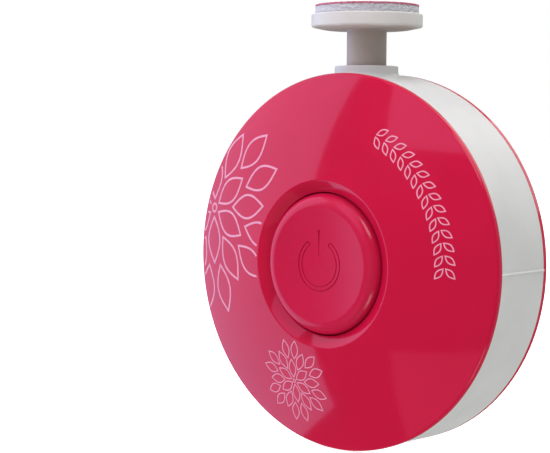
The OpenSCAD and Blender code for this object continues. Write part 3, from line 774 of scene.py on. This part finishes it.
def power_button():
    """Dished button with a round shoulder, the sunk power symbol, and its flange below."""
    inside = FACE_H - BUTTON_WALL
    wall_r = BUTTON_R - BUTTON_WALL
    face_r = BUTTON_R - BUTTON_ROUND
    radii = [face_r * k / FACE_STEPS for k in range(FACE_STEPS + 1)]
    corners = [(r, dish_at(r), 0) for r in radii]
    corners += [(BUTTON_R, FACE_H, BUTTON_ROUND - 0.01),
                (BUTTON_R, FLANGE_TOP, BUTTON_EDGE), (FLANGE_R, FLANGE_TOP, BUTTON_EDGE),
                (FLANGE_R, FLANGE_LOW, BUTTON_EDGE), (wall_r, FLANGE_LOW, BUTTON_EDGE),
                (wall_r, inside, 0.5), (POST_R, inside, 0.3),
                (POST_R, POST_LOW, BUTTON_EDGE), (0, POST_LOW, 0)]
    obj = new_object("power_button_cap", lathe(rounded(corners, 8), closed=False), FORWARD)
    combine(obj, power_strokes(), "DIFFERENCE")
    smooth(obj, 34, rules=(face_normal,))
    return finish_piece(obj, "button", "button_red", ["power_button"])


SPRING_TURNS = 5
SPRING_WIRE_R = 0.25
SPRING_STEPS = 32
SPRING_WIRE_STEPS = 10


def return_spring():
    """Coil under the button, from the front to the rear end of the spring's box, as one fixed
    mesh.
    """
    steps = SPRING_STEPS * SPRING_TURNS
    coil_r = SPRING_HIGH.x - SPRING_WIRE_R
    low, high = -SPRING_HIGH.y + SPRING_WIRE_R, -SPRING_LOW.y - SPRING_WIRE_R
    bm = bmesh.new()
    rings = []
    for k in range(steps + 1):
        a = 2 * math.pi * SPRING_TURNS * k / steps
        height = low + (high - low) * k / steps
        ring = []
        for x, z in circle(SPRING_WIRE_R, SPRING_WIRE_STEPS):
            r = coil_r + x
            ring.append(bm.verts.new((r * math.cos(a), r * math.sin(a), height + z)))
        rings.append(ring)
    bm.faces.new(rings[0])
    bm.faces.new(rings[-1][::-1])
    for here, there in zip(rings, rings[1:]):
        bridge(bm, here, there)
    obj = smooth(new_object("return_spring_coil", bm, FORWARD), 50)
    obj.data.materials.append(SLOT_MATERIALS["steel"])
    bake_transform(obj)
    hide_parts("button_spring")


# ---------------------------------------------------------------- the head
def head_hub():
    """Plate and stem of the sanding head, with the flat-sided socket for the spindle."""
    corners = [(0, PLATE_TOP, 0), (PLATE_R, PLATE_TOP, 0.22), (PLATE_R, PLATE_BOTTOM + 0.1, 0.3),
               (PLATE_R - PLATE_SLOPE_W, PLATE_BOTTOM - PLATE_SWELL, 1.5),
               (STEM_R, PLATE_BOTTOM - PLATE_SWELL, 0.35),
               (STEM_R, STEM_BOTTOM, 0.25), (0, STEM_BOTTOM, 0)]
    obj = new_object("head_hub_turned", lathe(rounded(corners, 10), closed=False), UPRIGHT)
    flat = math.asin(SOCKET_HALF / SOCKET_R)
    arcs = [(SOCKET_R * math.cos(s + flat * t / 8), SOCKET_R * math.sin(s + flat * t / 8))
            for s in (0, math.pi) for t in range(-8, 9)]
    socket = prism(arcs, STEM_BOTTOM - 1, STEM_BOTTOM + SOCKET_DEPTH)
    combine(obj, [new_object("socket", socket, UPRIGHT)], "DIFFERENCE")
    smooth(obj, 34)
    return finish_piece(obj, "head", "head_white", ["head_hub"])


FOAM_EDGE_IN = 0.14
FOAM_EDGE_ROUGH = 0.14
FOAM_EDGE_SCALE = 3.0
FOAM_EDGE_STEPS = 9
GRIT_RING_GAP = 0.22
GRIT_RINGS = 40
GRIT_HEIGHT = 0.05
GRIT_SCALE = 4.5
DISC_EDGE_ROUGH = 0.1
DISC_EDGE_SCALE = 2.2


def rough_edge(radius, height, angle, depth, scale):
    """Small unevenness of a cut edge, the same each run."""
    if radius < 1:
        return 0.0
    point = Vector((radius * math.cos(angle), radius * math.sin(angle), height)) * scale
    return depth * (noise.noise(point) + 0.5 * noise.noise(point * 2.7))


def foam_pad():
    """Foam disc with a torn, porous edge."""
    low = PLATE_TOP
    corners = [(0, low, 0), (FOAM_R - 0.5, low, 0), (FOAM_R - 0.25, low, 0.1)]
    corners += [(FOAM_R - FOAM_EDGE_IN, low + (FOAM_TOP - low) * k / FOAM_EDGE_STEPS, 0)
                for k in range(1, FOAM_EDGE_STEPS)]
    corners += [(FOAM_R - 0.2, FOAM_TOP, 0.08), (FOAM_R - 0.6, FOAM_TOP, 0), (0, FOAM_TOP, 0)]

    def uneven(radius, height, angle):
        if radius <= FOAM_R - 0.4:
            return 0.0
        return rough_edge(radius, height, angle, FOAM_EDGE_ROUGH, FOAM_EDGE_SCALE)
    bm = lathe(rounded(corners), closed=False, steps=540, radius_change=uneven)
    obj = smooth(new_object("foam_pad_cut", bm, UPRIGHT), 60)
    finish_piece(obj, "head", "foam", ["foam_pad"])
    return obj


def abrasive_disc():
    """Thin abrasive face stuck on the foam, with a grainy top."""
    low, top = FOAM_TOP, DISC_TOP - GRIT_HEIGHT
    profile = [(0, low), (DISC_R - 0.1, low), (DISC_R - 0.12, DISC_TOP - 0.04)]
    profile += [(DISC_R - 0.3 - GRIT_RING_GAP * k, top) for k in range(GRIT_RINGS)]
    profile.append((0, top))

    def uneven(radius, height, angle):
        if radius <= DISC_R - 0.2:
            return 0.0
        return rough_edge(radius, height, angle, DISC_EDGE_ROUGH, DISC_EDGE_SCALE)
    bm = lathe([Vector(point) for point in profile], closed=False, steps=360,
               radius_change=uneven)
    for vert in bm.verts:
        if vert.co.z > low + 0.1:
            vert.co.z += GRIT_HEIGHT * noise.noise(vert.co * GRIT_SCALE)
    obj = smooth(new_object("abrasive_disc_grit", bm, UPRIGHT), 70)
    return finish_piece(obj, "head", "abrasive", ["abrasive_disc"])


# ---------------------------------------------------------------- printed petals
PRINT_RISE = 0.025
PRINT_SINK = 0.02
PRINT_IN_R = RECESS_R + 0.35
PRINT_OUT_R = CASE_R - 0.75
LEAF_POINTS = 64
RING_POINTS = 32
ROSETTE_EYE_R = 0.75

# Rings of a rosette: base, tip and width of a leaf, and the angles of its leaves
ROSETTE_RINGS = (
    (1.7, 10.2, 4.1, [60 * k for k in range(6)]),
    (6.3, 15.2, 4.2, [30 + 60 * k for k in range(6)]),
    (10.8, 19.4, 4.1, [60 * k + side * 10.6 for k in range(6) for side in (-1, 1)]),
)
# Rosettes: name, centre, scale, turn, width of the lines
ROSETTES = (
    ("printed_rosette_large", (-28.8, 8.5), 1.0, 33.7, 0.38),
    ("printed_rosette_small", (-7.0, -21.2), 0.384, 31.0, 0.17),
)
# Row of leaf pairs near the rim
ROW_R = 24.4
ROW_COUNT = 14
ROW_START = 66
ROW_STEP = 4.9
ROW_TILT = 42
ROW_LEAF = (0.35, 2.5, 0.95)
ROW_LINE = 0.2


def leaf_outline(base, tip, width, grow):
    """Pointed leaf along +x from base to tip, grown all round by this much."""
    point = grow * 1.6
    start, end = base - point, tip + point
    half = width / 2 + grow
    outline = []
    for k in range(LEAF_POINTS):
        a = 2 * math.pi * k / LEAF_POINTS
        t = (1 - math.cos(a)) / 2
        side = 1 if a < math.pi else -1
        outline.append((start + (end - start) * t, side * half * math.sin(math.pi * t)))
    return outline


def leaf_stroke(base, tip, width, stroke, place):
    """Pairs of inner and outer points of a leaf's outline, placed in the disc's plane."""
    inner = leaf_outline(base, tip, width, -stroke / 2)
    outer = leaf_outline(base, tip, width, stroke / 2)
    return [tuple(place @ Vector((*p, 0)) for p in pair) for pair in zip(inner, outer)]


def ring_stroke(centre, radius, stroke):
    """Pairs of inner and outer points of a small printed ring."""
    inner = circle(radius - stroke / 2, RING_POINTS, centre)
    outer = circle(radius + stroke / 2, RING_POINTS, centre)
    return [tuple(Vector((*p, 0)) for p in pair) for pair in zip(inner, outer)]


def on_print_area(pair):
    """Whether the middle of a pair lies on the dome between the recess and the rim."""
    radius = ((pair[0] + pair[1]) / 2).xy.length
    return PRINT_IN_R < radius < PRINT_OUT_R


def runs_of(pairs):
    """Splits a closed row of pairs into the stretches that lie on the printed area."""
    kept = [on_print_area(p) for p in pairs]
    if all(kept):
        return [(pairs, True)]
    runs = []
    start = kept.index(False)
    for k in range(1, len(pairs) + 1):
        i = (start + k) % len(pairs)
        if kept[i]:
            if not kept[i - 1]:
                runs.append([])
            runs[-1].append(pairs[i])
    return [(run, False) for run in runs if len(run) > 1]


def add_ribbon(bm, pairs, closed):
    """Thin raised ribbon over the dome between the two edges of a stroke."""
    sections = []
    for inner, outer in pairs:
        section = []
        for point, lift in ((inner, -PRINT_SINK), (outer, -PRINT_SINK),
                            (outer, PRINT_RISE), (inner, PRINT_RISE)):
            section.append(bm.verts.new((point.x, point.y, dome_at(point.xy.length) + lift)))
        sections.append(section)
    links = list(zip(sections, sections[1:]))
    if closed:
        links.append((sections[-1], sections[0]))
    else:
        bm.faces.new(sections[0])
        bm.faces.new(sections[-1][::-1])
    for here, there in links:
        bridge(bm, here, there)


def print_piece(name, strokes):
    """One printed piece on the front cover, from its strokes."""
    bm = bmesh.new()
    for pairs in strokes:
        for run, closed in runs_of(pairs):
            add_ribbon(bm, run, closed)
    obj = smooth(new_object(name, bm, FORWARD), 40)
    return finish_piece(obj, "case", "cover_red", material=PRINT)


def rosette(name, centre, scale, turn, stroke):
    """Three rings of outlined leaves round a centre."""
    strokes = [ring_stroke(centre, ROSETTE_EYE_R * scale, stroke)]
    for base, tip, width, angles in ROSETTE_RINGS:
        for angle in angles:
            place = (Matrix.Translation((*centre, 0))
                     @ Matrix.Rotation(math.radians(turn + angle), 4, "Z"))
            strokes.append(leaf_stroke(base * scale, tip * scale, width * scale, stroke, place))
    return print_piece(name, strokes)


def leaf_row():
    """Row of small leaves in pairs along an arc near the rim."""
    strokes = []
    for k in range(ROW_COUNT):
        angle = ROW_START - ROW_STEP * k
        for side in (-1, 1):
            place = (Matrix.Rotation(math.radians(angle), 4, "Z")
                     @ Matrix.Translation((ROW_R, 0, 0))
                     @ Matrix.Rotation(math.radians(-90 + side * ROW_TILT), 4, "Z"))
            strokes.append(leaf_stroke(*ROW_LEAF, ROW_LINE, place))
    return print_piece("printed_leaf_row", strokes)


# ---------------------------------------------------------------- the CAD nodes that stay
def dress_cad_nodes():
    """Gives every CAD node that is still shown the material of its slot."""
    for row in frame["record"]["subparts"]:
        materials = frame["nodes"][row["node"]].data.materials
        materials.clear()
        materials.append(SLOT_MATERIALS[row["material_slot"]])


# ---------------------------------------------------------------- stage, camera and lights
CAMERA_AZIMUTH = 37.896
CAMERA_ELEVATION = 5.076
CAMERA_DISTANCE = 0.26814
CAMERA_YAW = -3.424
CAMERA_PITCH = 1.237
CAMERA_ROLL = 0.686
CAMERA_LENS = 98.26
CAMERA_SENSOR = 36
CAMERA_CLIP = 0.01
MIDDLE = Vector((0, 0, CENTRE_Z * MM))


def direction(azimuth, elevation):
    """Way from the case at an azimuth (0 in front, 90 to the right) and an elevation."""
    a, e = math.radians(azimuth), math.radians(elevation)
    return Vector((math.sin(a) * math.cos(e), -math.cos(a) * math.cos(e), math.sin(e)))


def turned(first, second, degrees):
    """Two square axes turned in their own plane, the first toward the second."""
    c, s = math.cos(math.radians(degrees)), math.sin(math.radians(degrees))
    return c * first + s * second, c * second - s * first


def set_camera():
    """Camera at the photograph's angle, aimed a little off the middle of the case."""
    azimuth = math.radians(CAMERA_AZIMUTH)
    toward = direction(CAMERA_AZIMUTH, CAMERA_ELEVATION)
    right = Vector((math.cos(azimuth), math.sin(azimuth), 0))
    up = toward.cross(right)
    right, back = turned(right, toward, CAMERA_YAW)
    up, back = turned(up, back, CAMERA_PITCH)
    right, up = turned(right, up, CAMERA_ROLL)
    place = Matrix((right, up, back)).transposed().to_4x4()
    place.translation = MIDDLE + toward * CAMERA_DISTANCE
    data = bpy.data.cameras.new("photo_camera")
    data.lens = CAMERA_LENS
    data.sensor_width = CAMERA_SENSOR
    data.clip_start = CAMERA_CLIP
    camera = bpy.data.objects.new("photo_camera", data)
    camera.matrix_world = place
    bpy.context.scene.collection.objects.link(camera)
    bpy.context.scene.camera = camera


# Lights: name, azimuth, elevation, width, height, power, whether polished surfaces show
# them, and colour
LIGHT_DISTANCE = 0.9
WHITE = (1, 1, 1)
VIOLET = (0.70, 0.86, 1.42)
PINK = (1.2, 0.62, 1.2)
ROSE = (1.2, 0.35, 0.5)
PALE = (1.0, 0.95, 1.0)
LIGHTS = (
    ("left_box", -73, 7, 1.05, 1.8, 5.2, True, VIOLET),
    ("front_box", -4, 47, 0.62, 0.8, 1.2, True, PINK),
    ("low_right_box", -6, -40, 0.42, 0.5, 0.3, True, ROSE),
    ("rim_box", 66, 50, 0.35, 0.4, 1.6, True, PALE),
    ("low_rim_box", 66, -48, 0.3, 0.3, 0.7, True, PALE),
    ("back_box", 165, 35, 0.5, 0.7, 1.2, True, WHITE),
    ("key_fill", -30, 35, 0.8, 0.8, 3.2, False, WHITE),
    ("front_fill", 25, -5, 0.8, 0.8, 1.8, False, WHITE),
    ("low_fill", 80, -65, 0.7, 0.7, 3.8, False, WHITE),
    ("top_fill", 100, 78, 0.9, 0.9, 7.0, False, WHITE),
)


def softbox(name, azimuth, elevation, width, height, power, glossy, colour):
    """Area light aimed at the middle of the case."""
    toward = direction(azimuth, elevation)
    data = bpy.data.lights.new(name, "AREA")
    data.shape = "RECTANGLE"
    data.size, data.size_y = width, height
    data.energy = power
    data.color = colour
    light = bpy.data.objects.new(name, data)
    light.matrix_world = (Matrix.Translation(MIDDLE + toward * LIGHT_DISTANCE)
                          @ toward.to_track_quat("Z", "Y").to_matrix().to_4x4())
    light.visible_camera = False
    light.visible_glossy = glossy
    bpy.context.scene.collection.objects.link(light)


# Strength of the surroundings: what lights the object from its bright side and from its dim
# side, what polished surfaces see in front and behind, and what the camera sees
WORLD_BRIGHT = 1.0
WORLD_DIM = 0.05
WORLD_GLOSS = 0.09
WORLD_GLOSS_BEHIND = 0.35
WORLD_SEEN = 1.0
DIM_WAY = (0.70, -0.64, 0.30)
BEHIND_WAY = (0.15, 0.80, 0.55)
BEHIND_SPAN = (0.1, 0.8)
FLOOR_LIFT = 0.62
FLOOR_SIZE = 6.0
FLOOR_CELLS = 8


class World:
    """Short way to build the world's strength from directions and kinds of ray."""

    def __init__(self):
        """New world with its ray kinds and its direction at hand."""
        world = bpy.data.worlds.new("studio")
        world.use_nodes = True
        bpy.context.scene.world = world
        self.tree = world.node_tree
        self.path = self.tree.nodes.new("ShaderNodeLightPath")
        self.way = self.tree.nodes.new("ShaderNodeTexCoord").outputs["Generated"]

    def toward(self, way):
        """How far a ray points along a way, from -1 to 1."""
        node = self.tree.nodes.new("ShaderNodeVectorMath")
        node.operation = "DOT_PRODUCT"
        node.inputs[1].default_value = way
        self.tree.links.new(self.way, node.inputs[0])
        return node.outputs["Value"]

    def blend(self, value, low, high, start=0.0, end=1.0):
        """Goes from low to high, each a number or a socket, as value goes from start to end."""
        node = self.tree.nodes.new("ShaderNodeMapRange")
        self.tree.links.new(value, node.inputs["Value"])
        for key, item in zip(RANGE_KEYS, (start, end, low, high)):
            if isinstance(item, (int, float)):
                node.inputs[key].default_value = item
            else:
                self.tree.links.new(item, node.inputs[key])
        return node.outputs["Result"]


def set_world():
    """White surroundings with a dim side, and dark where only a polished front sees them."""
    world = World()
    fill = world.blend(world.toward(DIM_WAY), WORLD_BRIGHT, WORLD_DIM, -1.0, 1.0)
    polish = world.blend(world.toward(BEHIND_WAY), WORLD_GLOSS, WORLD_GLOSS_BEHIND,
                         *BEHIND_SPAN)
    lit = world.blend(world.path.outputs["Is Glossy Ray"], fill, polish)
    seen = world.blend(world.path.outputs["Is Camera Ray"], lit, WORLD_SEEN)
    background = world.tree.nodes["Background"]
    background.inputs["Color"].default_value = (1, 1, 1, 1)
    world.tree.links.new(seen, background.inputs["Strength"])


def set_floor():
    """Pale floor that casts no shadow and is not seen in polished surfaces."""
    bm = bmesh.new()
    bmesh.ops.create_grid(bm, x_segments=FLOOR_CELLS, y_segments=FLOOR_CELLS, size=FLOOR_SIZE)
    mesh = bpy.data.meshes.new("studio_floor")
    bm.to_mesh(mesh)
    bm.free()
    floor = bpy.data.objects.new("studio_floor", mesh)
    bpy.context.scene.collection.objects.link(floor)
    m = Nodes("floor_white", Roughness=0.9, Specular_IOR_Level=0.0, Emission_Strength=FLOOR_LIFT)
    m.shader.inputs["Emission Color"].default_value = (1, 1, 1, 1)
    m.colour(m.noise(0.02), (0.3, (0.90, 0.90, 0.90)), (0.7, (0.92, 0.92, 0.92)))
    mesh.materials.append(m.material)
    floor.visible_glossy = False
    floor.visible_diffuse = False
    floor.visible_shadow = False


def set_stage():
    """Camera, surroundings, floor and lights."""
    set_camera()
    set_world()
    set_floor()
    for row in LIGHTS:
        softbox(*row)
    bpy.context.scene.view_settings.view_transform = "Standard"


# ---------------------------------------------------------------- build
set_stage()
dress_cad_nodes()
front_cover()
middle_band()
power_button()
return_spring()
head_hub()
foam_pad()
abrasive_disc()
for item in ROSETTES:
    rosette(*item)
leaf_row()
